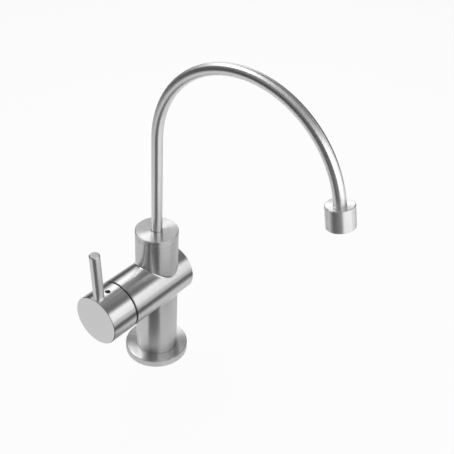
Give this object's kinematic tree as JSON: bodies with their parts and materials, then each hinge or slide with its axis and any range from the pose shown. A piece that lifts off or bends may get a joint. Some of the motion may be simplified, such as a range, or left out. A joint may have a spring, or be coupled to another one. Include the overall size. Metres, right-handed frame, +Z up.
{
  "type": "kitchen mixer tap",
  "caption": "Single lever kitchen mixer tap in brushed stainless steel: a round column with a side barrel, a turning drum with a pin lever, and a slim gooseneck spout that swivels.",
  "frame": {"origin": "on the column's axis, on the deck that the flange stands on", "axes": "+Z up the column, the spout reaches towards +X at rest, the handle is towards -Y"},
  "size_m": [0.2259, 0.1132, 0.336],
  "materials": {
    "brushed_stainless": "fine brushed",
    "screw_steel": "plain",
    "turned_brass": "turned",
    "black_rubber": "moulded",
    "black_acetal": "turned",
    "white_acetal": "moulded",
    "grey_plastic": "moulded",
    "alumina_ceramic": "lapped"
  },
  "bodies": {
    "body": {"base_flange": "brushed_stainless", "deck_seal": "black_rubber", "hose_block": "turned_brass", "hose_gasket": "black_rubber", "valve_body": "brushed_stainless", "neck_collar": "brushed_stainless", "swivel_bush": "black_acetal", "upper_thrust_washer": "white_acetal", "lower_thrust_washer": "white_acetal", "glide_ring": "black_acetal", "cartridge_nut": "turned_brass", "cartridge_housing": "grey_plastic", "fixed_disc": "alumina_ceramic", "cartridge_base": "grey_plastic", "port_gasket": "black_rubber"},
    "handle": {"handle_drum": "brushed_stainless", "lever_pin": "brushed_stainless", "handle_grub_screw": "screw_steel", "cartridge_spindle": "turned_brass", "spindle_o_ring": "black_rubber", "disc_carrier": "white_acetal", "moving_disc": "alumina_ceramic"},
    "spout": {"spout_spigot": "turned_brass", "spigot_o_rings": "black_rubber", "spout_tube": "brushed_stainless", "nozzle_shell": "brushed_stainless", "aerator_seal": "black_rubber", "aerator_screen": "screw_steel", "jet_former": "grey_plastic", "aerator_carrier": "grey_plastic"}
  },
  "joints": [
    {"name": "handle_turn", "type": "hinge", "parent": "body", "child": "handle", "pos_m": [0, -0.066, 0.088], "axis": [0, 1, 0], "range_deg": [0, 100]},
    {"name": "spout_swivel", "type": "hinge", "parent": "body", "child": "spout", "pos_m": [0, 0, 0.13], "axis": [0, 0, 1], "continuous": true}
  ]
}
